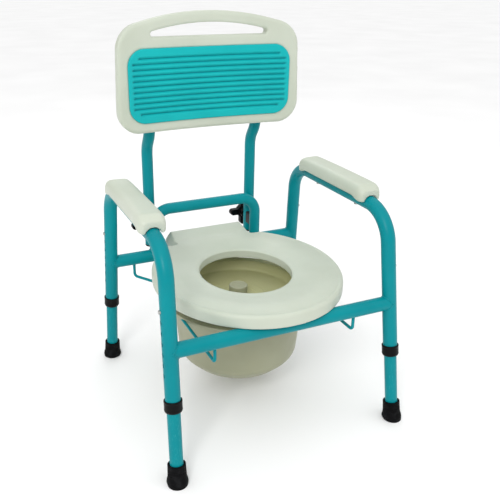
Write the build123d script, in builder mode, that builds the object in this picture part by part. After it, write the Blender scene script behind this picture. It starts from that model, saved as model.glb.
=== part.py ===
"""Height-adjustable commode chair with a lift-up seat ring, a rail-hung bucket and a clamped-on back.

Units are millimetres. +Z is up, the sitter faces -Y, X=0 is the middle plane and Z=0 is the floor.
Each side frame lies in its own plane, which leans inwards by SIDE_LEAN. In that plane the first
coordinate runs along +Y and the second, called height here, runs up the plane from the floor.
"""

import math
import os

from build123d import *

# Steel tubes and wire
TUBE_R = 16.0            # side frames and crossbars, 32 mm tube
TUBE_BORE_R = 14.3       # its bore, which the telescopic legs slide in
INNER_R = 14.0           # telescopic legs, back bracket and back posts, 28 mm tube
INNER_BORE_R = 12.5
WIRE_R = 3.5             # bucket rails

# Side frames
FLOOR_X = 267.0          # half distance between the side planes at the floor
SIDE_LEAN = math.radians(1.63)
FRONT_FOOT_Y = -287.5
REAR_FOOT_Y = 235.5
FRONT_RAKE = math.radians(9.29)
REAR_RAKE = math.radians(4.92)
ARM_HEIGHT = 489.0       # centreline of the tube under the armrest
FRONT_BEND_R = 80.0
REAR_BEND_R = 70.0
TUBE_END_HEIGHT = 166.0

# Legs
BUTTON_HEIGHT = 367.0
HOLE_PITCH = 22.0        # along the leg
HOLE_COUNT = 7
HOLE_R = 4.6
BUTTON_R = 4.2
LEG_TOP = 410.0          # along the leg from the floor
LEG_BOTTOM = 9.0
TIP_TOP = 45.0

# Crossbars and back bracket
BAR_Z = 284.5
BAR_HALF = 257.5         # the coped ends reach the middle of the leg tubes
FRONT_BAR_Y = FRONT_FOOT_Y + math.tan(FRONT_RAKE) * BAR_Z
REAR_BAR_Y = REAR_FOOT_Y - math.tan(REAR_RAKE) * BAR_Z
BRACKET_X = 142.0
BRACKET_TOP_Z = 407.0
BRACKET_BEND_R = 42.0
CLAMP_Z = 341.0

# Bucket rails
RAIL_Z = 236.0
RAIL_X = 165.0
RAIL_REAR_X = 200.0

# Seat
SEAT_Y = -36.6
SEAT_A = 217.0
SEAT_B = 239.0
HOLE_Y = -33.0
HOLE_A = 106.3
HOLE_B = 117.5
SEAT_LOW_Z = 301.0
SEAT_TOP_Z = 332.0
HINGE_CLEARANCE = 0.08

# Bucket and lid
BUCKET_Y = 5.0
BUCKET_BOTTOM_Z = 72.0
FLANGE_Z = 239.8
FLANGE_R = 178.0
BUCKET_TOP_R = 157.0
BUCKET_BASE_R = 145.0
BUCKET_WALL = 2.6
UPSTAND_HIGH = 22.2      # upstand on the flange that the lid sits on
LID_Z = 262.3            # underside of the lid's rim
LID_R = 166.0

# Back
POST_Y = 249.0
POST_TOP_Y = 220.0
POST_BOTTOM_Z = 303.0
POST_TOP_Z = 758.0
PANEL_CENTRE_Y = -1220.0  # axis of the panel's curvature
PANEL_R = 1400.0
PANEL_DEPTH = 24.0
BOLT_R = 4.0
BOLT_END_Y = 309.5
BOLT_LENGTH = 94.0

SIDES = {"left": -1, "right": 1}
ENDS = {"front": -1, "rear": 1}

os.makedirs("parts", exist_ok=True)


def save(shape, name, colour):
    """Label one finished piece and write it out."""
    shape.label = name
    shape.color = Color(*colour)
    export_step(shape, "parts/" + name + ".step")


TEAL = (0.06, 0.62, 0.64)
CREAM = (0.80, 0.83, 0.76)
BLACK = (0.03, 0.03, 0.03)
STEEL = (0.62, 0.63, 0.64)
PAIL = (0.72, 0.70, 0.60)


def side_plane(side):
    """Leaning plane of one side frame, with X along +Y and Y up the frame."""
    normal = (math.cos(SIDE_LEAN), 0, side * math.sin(SIDE_LEAN))
    return Plane(origin=(side * FLOOR_X, 0, 0), x_dir=(0, 1, 0), z_dir=normal)


def leg_point(side, end, along):
    """World point at a distance along a leg's axis from the floor."""
    rake = FRONT_RAKE if end < 0 else REAR_RAKE
    foot = FRONT_FOOT_Y if end < 0 else REAR_FOOT_Y
    local = Vector(foot - end * math.sin(rake) * along, math.cos(rake) * along, 0)
    return side_plane(side).from_local_coords(local)


def leg_plane(side, end, along):
    """Plane square to a leg, its normal up the leg and its X pointing outwards."""
    here = leg_point(side, end, along)
    up = leg_point(side, end, along + 1) - here
    outward = side_plane(side).z_dir * side
    return Plane(origin=here, x_dir=outward, z_dir=up)


def leg_button_along(end):
    """Distance along a leg from the floor to its button."""
    rake = FRONT_RAKE if end < 0 else REAR_RAKE
    return BUTTON_HEIGHT / math.cos(rake)


def outward_plane(side, end, along, reach):
    """Plane at a radius from the leg's axis, its normal pointing outwards from the chair."""
    square = leg_plane(side, end, along)
    return Plane(
        origin=square.origin + square.x_dir * reach, x_dir=square.z_dir, z_dir=square.x_dir
    )


def frame_corner(end):
    """Sharp corner of the side frame's centreline in the side plane."""
    rake = FRONT_RAKE if end < 0 else REAR_RAKE
    foot = FRONT_FOOT_Y if end < 0 else REAR_FOOT_Y
    return (foot - end * math.tan(rake) * ARM_HEIGHT, ARM_HEIGHT)


def frame_end(end):
    """Lower end of the side frame's centreline in the side plane."""
    rake = FRONT_RAKE if end < 0 else REAR_RAKE
    foot = FRONT_FOOT_Y if end < 0 else REAR_FOOT_Y
    return (foot - end * math.tan(rake) * TUBE_END_HEIGHT, TUBE_END_HEIGHT)


def bend_edges(corner, start, finish, radius):
    """Tangent points and arc middle of a bend at a corner between two straights."""
    corner = Vector(*corner)
    back = (Vector(*start) - corner).normalized()
    ahead = (Vector(*finish) - corner).normalized()
    half = math.radians(back.get_angle(ahead)) / 2
    reach = radius / math.tan(half)
    middle = corner + (back + ahead).normalized() * (radius / math.sin(half) - radius)
    return corner + back * reach, middle, corner + ahead * reach


def frame_path(side):
    """Centreline of one side frame: front leg, arm and rear leg."""
    first, front, rear, last = frame_end(-1), frame_corner(-1), frame_corner(1), frame_end(1)
    a, b, c = bend_edges(front, first, rear, FRONT_BEND_R)
    d, e, f = bend_edges(rear, front, last, REAR_BEND_R)
    with BuildLine(side_plane(side)) as path:
        Line(first, (a.X, a.Y))
        ThreePointArc((a.X, a.Y), (b.X, b.Y), (c.X, c.Y))
        Line((c.X, c.Y), (d.X, d.Y))
        ThreePointArc((d.X, d.Y), (e.X, e.Y), (f.X, f.Y))
        Line((f.X, f.Y), last)
    return path


def swept_tube(path, outer, bore):
    """Round tube, or rod where the bore is 0, along a path."""
    with BuildPart() as tube:
        with BuildSketch(Plane(origin=path.line @ 0, z_dir=path.line % 0)):
            Circle(outer)
            if bore > 0:
                Circle(bore, mode=Mode.SUBTRACT)
        sweep(path=path.line)
    return tube


def leg_rod(side, end, radius):
    """Solid rod along a whole leg's axis, for coping the bars against the tube."""
    with BuildPart() as rod:
        with BuildSketch(leg_plane(side, end, 120)):
            Circle(radius)
        extrude(amount=300)
    return rod


# Side frames: one continuous tube each, with a row of height holes down both legs
PAD_SCREW_Y = (-91.0, 76.0)
PAD_LOW = 496.0          # height of the pad's lower edge beside the tube
PAD_HIGH = 35.0
PAD_LENGTH = 282.0
PAD_WIDTH = 59.0
PAD_MIDDLE_Y = -4.5

for name, side in SIDES.items():
    path = frame_path(side)
    with BuildPart() as side_frame:
        add(swept_tube(path, TUBE_R, TUBE_BORE_R))
        for end in ENDS.values():
            for step in range(HOLE_COUNT):
                along = leg_button_along(end) - step * HOLE_PITCH
                with BuildSketch(outward_plane(side, end, along, 0)):
                    Circle(HOLE_R)
                extrude(amount=TUBE_R + 4, mode=Mode.SUBTRACT)
        for y in PAD_SCREW_Y:
            low = side_plane(side).from_local_coords(Vector(y, ARM_HEIGHT - 20, 0))
            with BuildSketch(Plane(origin=low, x_dir=(0, 1, 0), z_dir=side_plane(side).y_dir)):
                Circle(2.7)
            extrude(amount=40, mode=Mode.SUBTRACT)
    save(side_frame.part, "side_frame_" + name, TEAL)

# Crossbars, coped against the legs they are welded between
for name, y in (("front", FRONT_BAR_Y), ("rear", REAR_BAR_Y)):
    with BuildPart() as crossbar:
        with BuildSketch(Plane.YZ.offset(-BAR_HALF)):
            with Locations((y, BAR_Z)):
                Circle(TUBE_R)
                Circle(TUBE_BORE_R, mode=Mode.SUBTRACT)
        extrude(amount=2 * BAR_HALF)
        for side in SIDES.values():
            add(leg_rod(side, ENDS[name], TUBE_R), mode=Mode.SUBTRACT)
    save(crossbar.part, "crossbar_" + name, TEAL)

# Back bracket: inverted U welded on top of the rear crossbar
with BuildPart() as bracket:
    with BuildLine(Plane.XZ.offset(-REAR_BAR_Y)) as bracket_path:
        FilletPolyline(
            (-BRACKET_X, BAR_Z),
            (-BRACKET_X, BRACKET_TOP_Z),
            (BRACKET_X, BRACKET_TOP_Z),
            (BRACKET_X, BAR_Z),
            radius=BRACKET_BEND_R,
        )
    add(swept_tube(bracket_path, INNER_R, INNER_BORE_R))
    with Locations((0, REAR_BAR_Y, BAR_Z)):
        Cylinder(TUBE_R, 400, rotation=(0, 90, 0), mode=Mode.SUBTRACT)
    with Locations(
        (-BRACKET_X, REAR_BAR_Y + 15, CLAMP_Z),
        (BRACKET_X, REAR_BAR_Y + 15, CLAMP_Z),
    ):
        Cylinder(BOLT_R + 0.1, 20, rotation=(90, 0, 0), mode=Mode.SUBTRACT)
save(bracket.part, "back_bracket", TEAL)

# Bucket rails: bent wire hung under both crossbars, spread at the rear to let the bucket in
for name, side in SIDES.items():
    with BuildPart() as rail:
        with BuildLine() as rail_path:
            FilletPolyline(
                (side * RAIL_X, FRONT_BAR_Y, BAR_Z - 10),
                (side * RAIL_X, FRONT_BAR_Y, RAIL_Z),
                (side * RAIL_X, 158, RAIL_Z),
                (side * RAIL_REAR_X, REAR_BAR_Y - 1, RAIL_Z),
                (side * RAIL_REAR_X, REAR_BAR_Y, BAR_Z - 10),
                radius=9,
            )
        add(swept_tube(rail_path, WIRE_R, 0))
        for y in (FRONT_BAR_Y, REAR_BAR_Y):
            with Locations((side * 180, y, BAR_Z)):
                Cylinder(TUBE_R, 120, rotation=(0, 90, 0), mode=Mode.SUBTRACT)
    save(rail.part, "bucket_rail_" + name, TEAL)

# Legs: end collar, telescopic tube, rubber tip, snap button and its leaf spring
for side_name, side in SIDES.items():
    for end_name, end in ENDS.items():
        where = end_name + "_" + side_name
        rake = FRONT_RAKE if end < 0 else REAR_RAKE
        tube_end = TUBE_END_HEIGHT / math.cos(rake)
        button = leg_button_along(end)

        with BuildPart() as collar:
            with BuildSketch(leg_plane(side, end, tube_end - 6)):
                Circle(TUBE_R + 3)
            extrude(amount=25)
            fillet(collar.edges().filter_by(GeomType.CIRCLE), 1.6)
            with BuildSketch(leg_plane(side, end, tube_end - 8)):
                Circle(TUBE_BORE_R)
            extrude(amount=30, mode=Mode.SUBTRACT)
            with BuildSketch(leg_plane(side, end, tube_end)):
                Circle(TUBE_R)
            extrude(amount=22, mode=Mode.SUBTRACT)
        save(collar.part, "leg_collar_" + where, BLACK)

        with BuildPart() as inner_leg:
            with BuildSketch(leg_plane(side, end, LEG_BOTTOM)):
                Circle(INNER_R)
                Circle(INNER_BORE_R, mode=Mode.SUBTRACT)
            extrude(amount=LEG_TOP - LEG_BOTTOM)
            with BuildSketch(outward_plane(side, end, button, 0)):
                Circle(HOLE_R)
            extrude(amount=TUBE_R + 4, mode=Mode.SUBTRACT)
        save(inner_leg.part, "inner_leg_" + where, TEAL)

        # The tip runs below the floor before it is cut flat, because the leg leans.
        with BuildPart() as tip:
            with BuildSketch(leg_plane(side, end, -8)):
                Circle(21.5)
            with BuildSketch(leg_plane(side, end, 9)):
                Circle(22.6)
            loft()
            with BuildSketch(leg_plane(side, end, 9)):
                Circle(22.6)
            with BuildSketch(leg_plane(side, end, 17)):
                Circle(19.8)
            loft()
            with BuildSketch(leg_plane(side, end, 17)):
                Circle(19.8)
            extrude(amount=TIP_TOP - 17, taper=1.0)
            for ring in (24, 30, 36):
                with BuildSketch(leg_plane(side, end, ring)):
                    Circle(22)
                    Circle(18.9, mode=Mode.SUBTRACT)
                extrude(amount=1.6, mode=Mode.SUBTRACT)
            with BuildSketch(leg_plane(side, end, LEG_BOTTOM)):
                Circle(INNER_R)
            extrude(amount=60, mode=Mode.SUBTRACT)
            foot = leg_point(side, end, 0)
            with Locations((foot.X, foot.Y, -20)):
                Box(90, 90, 40, mode=Mode.SUBTRACT)
        save(tip.part, "rubber_tip_" + where, BLACK)

        with BuildPart() as button_pin:
            with BuildSketch(outward_plane(side, end, button, 10.5)):
                Circle(BUTTON_R)
            extrude(amount=8.6)
            outwards = Axis(leg_point(side, end, 0), leg_plane(side, end, 0).x_dir)
            fillet(button_pin.edges().group_by(outwards)[-1], 1.8)
            with BuildSketch(outward_plane(side, end, button, 9.2)):
                Circle(6.2)
            extrude(amount=1.5)
        save(button_pin.part, "snap_button_" + where, STEEL)

        # Leaf spring folded at the bottom, its front arm behind the button
        with BuildPart() as spring:
            square = leg_plane(side, end, button)
            leaf_plane = Plane(origin=square.origin, x_dir=square.x_dir, z_dir=side * square.y_dir)
            leaf_up = leaf_plane.to_local_coords(square.origin + square.z_dir).Y
            with BuildLine(leaf_plane) as leaf_line:
                FilletPolyline(
                    (8.8, 8 * leaf_up),
                    (8.8, -12 * leaf_up),
                    (1.5, -46 * leaf_up),
                    (-5.2, -12 * leaf_up),
                    (-5.2, 4 * leaf_up),
                    radius=2.2,
                )
            leaf_start = leaf_line.line @ 0
            leaf_way = leaf_line.line % 0
            with BuildSketch(Plane(origin=leaf_start, x_dir=leaf_plane.z_dir, z_dir=leaf_way)):
                Rectangle(8, 0.7)
            sweep(path=leaf_line.line, transition=Transition.RIGHT)
        save(spring.part, "button_spring_" + where, STEEL)

# Armrest pads, hollowed to sit on the arm tube, and their screws
for name, side in SIDES.items():
    path = frame_path(side)
    base = side_plane(side).from_local_coords(Vector(PAD_MIDDLE_Y, PAD_LOW, 0))
    with BuildPart() as pad:
        with BuildSketch(Plane(origin=base, x_dir=(0, 1, 0), z_dir=side_plane(side).y_dir)):
            RectangleRounded(PAD_LENGTH, PAD_WIDTH, 20)
        extrude(amount=PAD_HIGH)
        fillet(pad.faces().sort_by(Axis.Z)[-1].edges(), 12)
        add(swept_tube(path, TUBE_R, 0), mode=Mode.SUBTRACT)
        for y in PAD_SCREW_Y:
            low = side_plane(side).from_local_coords(Vector(y, ARM_HEIGHT, 0))
            with BuildSketch(Plane(origin=low, x_dir=(0, 1, 0), z_dir=side_plane(side).y_dir)):
                Circle(2.5)
            extrude(amount=32, mode=Mode.SUBTRACT)
    save(pad.part, "armrest_pad_" + name, CREAM)

    with BuildPart() as pad_screws:
        for y in PAD_SCREW_Y:
            low = side_plane(side).from_local_coords(Vector(y, ARM_HEIGHT - TUBE_R - 3, 0))
            screw_plane = Plane(origin=low, x_dir=(0, 1, 0), z_dir=side_plane(side).y_dir)
            with BuildSketch(screw_plane):
                Circle(5.2)
            extrude(amount=3)
            with BuildSketch(screw_plane):
                Circle(2.5)
            extrude(amount=46)
            with BuildSketch(screw_plane):
                Rectangle(6, 1.2)
                Rectangle(1.2, 6)
            extrude(amount=1.4, mode=Mode.SUBTRACT)
    save(pad_screws.part, "armrest_screws_" + name, STEEL)

# Seat ring: open-bottomed moulding with ribs and a snap-on channel over the rear crossbar
BUMPER_X = 88.0
with BuildPart() as seat:
    with BuildSketch(Plane.XY.offset(SEAT_LOW_Z)):
        with Locations((0, SEAT_Y)):
            Ellipse(SEAT_A, SEAT_B)
    extrude(amount=SEAT_TOP_Z - SEAT_LOW_Z)
    fillet(seat.edges().group_by(Axis.Z)[-1], 10)
    # The top dishes down towards the hole.
    with BuildSketch(Plane.XY.offset(SEAT_TOP_Z)):
        with Locations((0, HOLE_Y)):
            Ellipse(HOLE_A + 74, HOLE_B + 78)
    with BuildSketch(Plane.XY.offset(SEAT_TOP_Z - 9)):
        with Locations((0, HOLE_Y)):
            Ellipse(HOLE_A + 6, HOLE_B + 6)
    loft(mode=Mode.SUBTRACT)
    with BuildSketch(Plane.YZ):
        with BuildLine():
            Polyline(
                (150, SEAT_LOW_Z),
                (150, 327.5),
                (176, 331.5),
                (212, 341),
                (221, 339),
                (231.5, 318),
                (231.5, 277),
                (190, 277),
                (190, SEAT_LOW_Z),
                (150, SEAT_LOW_Z),
            )
        make_face()
    extrude(amount=107, both=True)
    for side in SIDES.values():
        with BuildSketch(Plane.XZ.offset(-150)):
            with BuildLine():
                Polyline(
                    (side * 95, 346),
                    (side * 107, 316),
                    (side * 125, 316),
                    (side * 125, 346),
                    (side * 95, 346),
                )
            make_face()
        extrude(amount=-90, mode=Mode.SUBTRACT)
    with BuildSketch(Plane.XY.offset(SEAT_LOW_Z - 40)):
        with Locations((0, HOLE_Y)):
            Ellipse(HOLE_A, HOLE_B)
    extrude(amount=100, mode=Mode.SUBTRACT)
    # Underside hollow, leaving the ribs and the bumper bosses standing
    with BuildSketch(Plane.XY.offset(SEAT_LOW_Z)):
        with Locations((0, SEAT_Y)):
            Ellipse(SEAT_A - 4, SEAT_B - 4)
        with Locations((0, HOLE_Y)):
            Ellipse(HOLE_A + 4, HOLE_B + 4, mode=Mode.SUBTRACT)
        with Locations((0, HOLE_Y)):
            with PolarLocations(0, 8, start_angle=22.5):
                Rectangle(520, 3.2, mode=Mode.SUBTRACT)
        with Locations((-BUMPER_X, FRONT_BAR_Y), (BUMPER_X, FRONT_BAR_Y)):
            Circle(11, mode=Mode.SUBTRACT)
        with Locations((0, 200)):
            Rectangle(230, 60, mode=Mode.SUBTRACT)
    extrude(amount=17, mode=Mode.SUBTRACT)
    for side in SIDES.values():
        with BuildSketch(Plane.YZ):
            with BuildLine():
                Polyline(
                    (174, SEAT_LOW_Z),
                    (174, 324),
                    (208, 334),
                    (222, 324),
                    (222, 308),
                    (212, 304.5),
                    (186, SEAT_LOW_Z + 2),
                    (186, SEAT_LOW_Z),
                    (174, SEAT_LOW_Z),
                )
            make_face()
        extrude(amount=side * 52, mode=Mode.SUBTRACT)
        with Locations((side * 26, 180, 310)):
            Box(3, 12, 18)
    with Locations((0, REAR_BAR_Y, BAR_Z)):
        Cylinder(TUBE_R + HINGE_CLEARANCE, 300, rotation=(0, 90, 0), mode=Mode.SUBTRACT)
    with Locations((-BUMPER_X, FRONT_BAR_Y, SEAT_LOW_Z + 5), (BUMPER_X, FRONT_BAR_Y, SEAT_LOW_Z + 5)):
        Cylinder(3.5, 10, mode=Mode.SUBTRACT)
save(seat.part, "seat_ring", CREAM)

with BuildPart() as bumpers:
    with Locations((-BUMPER_X, FRONT_BAR_Y, SEAT_LOW_Z + 5), (BUMPER_X, FRONT_BAR_Y, SEAT_LOW_Z + 5)):
        Cylinder(3.5, 10)
    with Locations((-BUMPER_X, FRONT_BAR_Y, SEAT_LOW_Z - 0.1), (BUMPER_X, FRONT_BAR_Y, SEAT_LOW_Z - 0.1)):
        Cylinder(8, 0.2)
save(bumpers.part, "seat_bumpers", BLACK)

# Bucket, lid and lid knob, turned about the bucket's own axis
bucket_axis_plane = Plane.XZ.offset(-BUCKET_Y)
with BuildPart() as bucket:
    with BuildSketch(bucket_axis_plane):
        with BuildLine():
            Polyline(
                (0, BUCKET_BOTTOM_Z),
                (BUCKET_BASE_R - 42, BUCKET_BOTTOM_Z),
                (BUCKET_BASE_R - 15, BUCKET_BOTTOM_Z + 11),
                (BUCKET_BASE_R, BUCKET_BOTTOM_Z + 42),
                (BUCKET_TOP_R, FLANGE_Z),
                (FLANGE_R, FLANGE_Z),
                (FLANGE_R, FLANGE_Z + 3.2),
                (BUCKET_TOP_R + 4, FLANGE_Z + 3.2),
                (BUCKET_TOP_R + 4, FLANGE_Z + UPSTAND_HIGH),
                (BUCKET_TOP_R - BUCKET_WALL, FLANGE_Z + UPSTAND_HIGH),
                (BUCKET_BASE_R - BUCKET_WALL, BUCKET_BOTTOM_Z + 43),
                (BUCKET_BASE_R - 17, BUCKET_BOTTOM_Z + 13.2),
                (BUCKET_BASE_R - 43, BUCKET_BOTTOM_Z + BUCKET_WALL),
                (0, BUCKET_BOTTOM_Z + BUCKET_WALL),
                (0, BUCKET_BOTTOM_Z),
            )
        make_face()
    revolve(axis=Axis((0, BUCKET_Y, 0), (0, 0, 1)))
save(bucket.part, "bucket", PAIL)

WELL_R = 142.0
WELL_Z = 237.2
with BuildPart() as lid:
    with BuildSketch(bucket_axis_plane):
        with BuildLine():
            Polyline(
                (0, WELL_Z),
                (WELL_R, WELL_Z),
                (WELL_R + 5, LID_Z),
                (LID_R - 2.5, LID_Z),
                (LID_R - 2.5, LID_Z - 6.3),
                (LID_R, LID_Z - 6.3),
                (LID_R, LID_Z + 2.6),
                (WELL_R + 3, LID_Z + 2.6),
                (WELL_R - 2, WELL_Z + 2.6),
                (0, WELL_Z + 2.6),
                (0, WELL_Z),
            )
        make_face()
    revolve(axis=Axis((0, BUCKET_Y, 0), (0, 0, 1)))
    with Locations((0, BUCKET_Y, WELL_Z)):
        Cylinder(3.2, 20, mode=Mode.SUBTRACT)
save(lid.part, "bucket_lid", PAIL)

with BuildPart() as lid_knob:
    with BuildSketch(Plane.XY.offset(WELL_Z + 2.6)):
        with Locations((0, BUCKET_Y)):
            Circle(21.5)
    extrude(amount=27, taper=-2.5)
    fillet(lid_knob.edges().group_by(Axis.Z)[-1], 2.5)
    with Locations((0, BUCKET_Y, WELL_Z + 5)):
        Cylinder(3.2, 14)
    with Locations((0, BUCKET_Y, WELL_Z - 1.2)):
        Cylinder(7, 2.4)
save(lid_knob.part, "lid_knob", PAIL)

# Back posts with their jog forwards, end plugs and side plugs
for name, side in SIDES.items():
    x = side * BRACKET_X
    with BuildPart() as post:
        with BuildLine(Plane.YZ.offset(x)) as post_path:
            FilletPolyline(
                (POST_Y, POST_BOTTOM_Z),
                (POST_Y, 560),
                (POST_TOP_Y, 600),
                (POST_TOP_Y, POST_TOP_Z),
                radius=60,
            )
        add(swept_tube(post_path, INNER_R, INNER_BORE_R))
        with Locations((x, POST_Y, CLAMP_Z)):
            Cylinder(BOLT_R + 0.35, 40, rotation=(90, 0, 0), mode=Mode.SUBTRACT)
        with Locations((x + side * 13, POST_Y, 383)):
            Cylinder(3.2, 8, rotation=(0, 90, 0), mode=Mode.SUBTRACT)
        with Locations((x, POST_TOP_Y + 13, 660), (x, POST_TOP_Y + 13, 730)):
            Cylinder(2.1, 8, rotation=(90, 0, 0), mode=Mode.SUBTRACT)
    save(post.part, "back_post_" + name, TEAL)

    with BuildPart() as plug:
        with Locations((x, POST_Y, POST_BOTTOM_Z - 2.5)):
            Cylinder(INNER_R, 5)
        fillet(plug.edges().group_by(Axis.Z)[0], 2)
        with Locations((x, POST_Y, POST_BOTTOM_Z + 8)):
            Cylinder(INNER_BORE_R, 16)
            Cylinder(INNER_BORE_R - 2.5, 16, mode=Mode.SUBTRACT)
    save(plug.part, "post_plug_" + name, BLACK)

    with BuildPart() as side_plug:
        with Locations((x + side * 14.2, POST_Y, 383)):
            Cylinder(3.2, 4.2, rotation=(0, 90, 0))
        with Locations((x + side * 15.3, POST_Y, 383)):
            Cylinder(4.6, 2.2, rotation=(0, 90, 0))
        fillet(side_plug.edges().group_by(Axis.X)[-1 if side > 0 else 0], 0.9)
        with Locations((x, POST_Y, 383)):
            Cylinder(INNER_R, 20, mode=Mode.SUBTRACT)
        with Locations((x + side * 13.4, POST_Y, 383)):
            Cylinder(3.2, 2.6, rotation=(0, 90, 0))
    save(side_plug.part, "post_side_plug_" + name, BLACK)

    with BuildPart() as saddle:
        with Locations((x, (REAR_BAR_Y + POST_Y) / 2, CLAMP_Z)):
            Box(24, 22, 34)
        fillet(saddle.edges().filter_by(Axis.Y), 4)
        with Locations((x, REAR_BAR_Y, CLAMP_Z)):
            Cylinder(INNER_R, 60, mode=Mode.SUBTRACT)
        with Locations((x, POST_Y, CLAMP_Z)):
            Cylinder(INNER_R + 0.3, 60, mode=Mode.SUBTRACT)
        with Locations((x, REAR_BAR_Y + 19, CLAMP_Z)):
            Cylinder(BOLT_R, 60, rotation=(90, 0, 0), mode=Mode.SUBTRACT)
    save(saddle.part, "clamp_saddle_" + name, BLACK)

    with BuildPart() as bolt:
        # The head is a blind insert inside the bracket tube, so nothing shows from the front.
        with Locations((x, REAR_BAR_Y + 7.6, CLAMP_Z)):
            Cylinder(7, 5.4, rotation=(90, 0, 0))
        with Locations((x, BOLT_END_Y - BOLT_LENGTH / 2, CLAMP_Z)):
            Cylinder(BOLT_R, BOLT_LENGTH, rotation=(90, 0, 0))
    save(bolt.part, "clamp_bolt_" + name, STEEL)

    washer_y = POST_Y + INNER_R
    with BuildPart() as washer:
        with BuildSketch(Plane.XZ.offset(-washer_y)):
            with Locations((x, CLAMP_Z)):
                Circle(9.5)
                Circle(BOLT_R + 0.35, mode=Mode.SUBTRACT)
        extrude(amount=-1.6)
    save(washer.part, "clamp_washer_" + name, STEEL)

    knob_y = washer_y + 1.9
    with BuildPart() as knob:
        with BuildSketch(Plane.XZ.offset(-knob_y)):
            with Locations((x, CLAMP_Z)):
                Circle(13)
        extrude(amount=-17)
        with BuildSketch(Plane.XZ.offset(-(knob_y + 16))):
            with Locations((x, CLAMP_Z)):
                Circle(18)
                SlotOverall(76, 17)
                SlotOverall(76, 17, rotation=90)
        extrude(amount=-19)
        fillet(knob.edges().group_by(Axis.Y)[-1], 4)
        with Locations((x, knob_y + 15, CLAMP_Z)):
            Cylinder(BOLT_R + 0.06, 60, rotation=(90, 0, 0), mode=Mode.SUBTRACT)
    save(knob.part, "clamp_knob_" + name, BLACK)

# Back panel: curved moulding, open behind, with a carrying slot and two post sockets
PANEL_LOW_Z = 614.0
PAD_LOW_Z = 637.0
PAD_TOP_Z = 803.5
PAD_HALF = 203.0
RECESS = 3.0
PAD_PROUD = 4.5


def curved_slab(inner, outer):
    """Upright slab between two radii about the panel's axis of curvature."""
    with BuildPart() as slab:
        with BuildSketch(Plane.XY.offset(560)):
            with Locations((0, PANEL_CENTRE_Y)):
                Circle(outer)
                Circle(inner, mode=Mode.SUBTRACT)
                with Locations((0, -500)):
                    Rectangle(4000, 3200, mode=Mode.SUBTRACT)
        extrude(amount=360)
    return slab


def panel_outline(inset):
    """Panel outline seen from the front, drawn in by an inset."""
    low = PANEL_LOW_Z + inset
    half = 230 - inset
    with BuildSketch() as outline:
        with BuildLine():
            low_edge = Line((-185 + inset * 0.4, low), (185 - inset * 0.4, low))
            right_low = ThreePointArc(low_edge @ 1, (216 - inset * 0.75, 631 + inset * 0.7), (half, 668))
            right = Line(right_low @ 1, (half - 5, 795))
            right_top = ThreePointArc(right @ 1, (212 - inset * 0.75, 835 - inset * 0.7), (172, 858 - inset))
            top = ThreePointArc(right_top @ 1, (0, 881 - inset), (-172, 858 - inset))
            left_top = ThreePointArc(top @ 1, (-212 + inset * 0.75, 835 - inset * 0.7), (-half + 5, 795))
            left = Line(left_top @ 1, (-half, 668))
            ThreePointArc(left @ 1, (-216 + inset * 0.75, 631 + inset * 0.7), low_edge @ 0)
        make_face()
    return outline


def slot_outline(grow):
    """Crescent-shaped hand slot."""
    with BuildSketch() as slot:
        with BuildLine():
            foot = Line((-138, 827 - grow), (138, 827 - grow))
            tip = ThreePointArc(foot @ 1, (145 + grow, 833), (138, 840 + grow))
            roof = ThreePointArc(tip @ 1, (0, 856 + grow), (-138, 840 + grow))
            ThreePointArc(roof @ 1, (-145 - grow, 833), foot @ 0)
        make_face()
    return slot


def pad_outline(grow):
    """Rounded outline of the ribbed pad."""
    with BuildSketch() as outline:
        with Locations((0, (PAD_LOW_Z + PAD_TOP_Z) / 2)):
            RectangleRounded(2 * PAD_HALF + 2 * grow, PAD_TOP_Z - PAD_LOW_Z + 2 * grow, 40 + grow)
    return outline


with BuildPart() as panel:
    add(curved_slab(PANEL_R, PANEL_R + PANEL_DEPTH))
    with BuildSketch(Plane.XZ.offset(-260)):
        add(panel_outline(0).sketch)
    extrude(amount=160, mode=Mode.INTERSECT)
    with BuildPart(mode=Mode.PRIVATE) as hollow:
        add(curved_slab(PANEL_R + 7, PANEL_R + PANEL_DEPTH + 20))
        with BuildSketch(Plane.XZ.offset(-270)):
            add(panel_outline(5).sketch)
            add(slot_outline(5).sketch, mode=Mode.SUBTRACT)
            with Locations((-BRACKET_X, 738), (BRACKET_X, 738)):
                Rectangle(14, 248, mode=Mode.SUBTRACT)
            for z in (680, 745):
                with Locations((0, z)):
                    Rectangle(480, 3, mode=Mode.SUBTRACT)
        extrude(amount=170, mode=Mode.INTERSECT)
    add(hollow, mode=Mode.SUBTRACT)
    with BuildSketch(Plane.XZ.offset(-260)):
        add(slot_outline(0).sketch)
    extrude(amount=160, mode=Mode.SUBTRACT)
    with BuildPart(mode=Mode.PRIVATE) as recess:
        add(curved_slab(PANEL_R - 20, PANEL_R + RECESS))
        with BuildSketch(Plane.XZ.offset(-260)):
            add(pad_outline(0).sketch)
        extrude(amount=170, mode=Mode.INTERSECT)
    add(recess, mode=Mode.SUBTRACT)
    for side in SIDES.values():
        x = side * BRACKET_X
        with Locations((x, POST_TOP_Y, 692)):
            Cylinder(INNER_R + 3.2, 138)
        with Locations((x, POST_TOP_Y - 22, 692)):
            Box(14, 24, 138)
        with Locations((x, POST_TOP_Y, 689.5)):
            Cylinder(INNER_R, 137, mode=Mode.SUBTRACT)
        with Locations((x, POST_TOP_Y + 16, 660), (x, POST_TOP_Y + 16, 730)):
            Cylinder(2.1, 10, rotation=(90, 0, 0), mode=Mode.SUBTRACT)
save(panel.part, "back_panel", CREAM)

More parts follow.
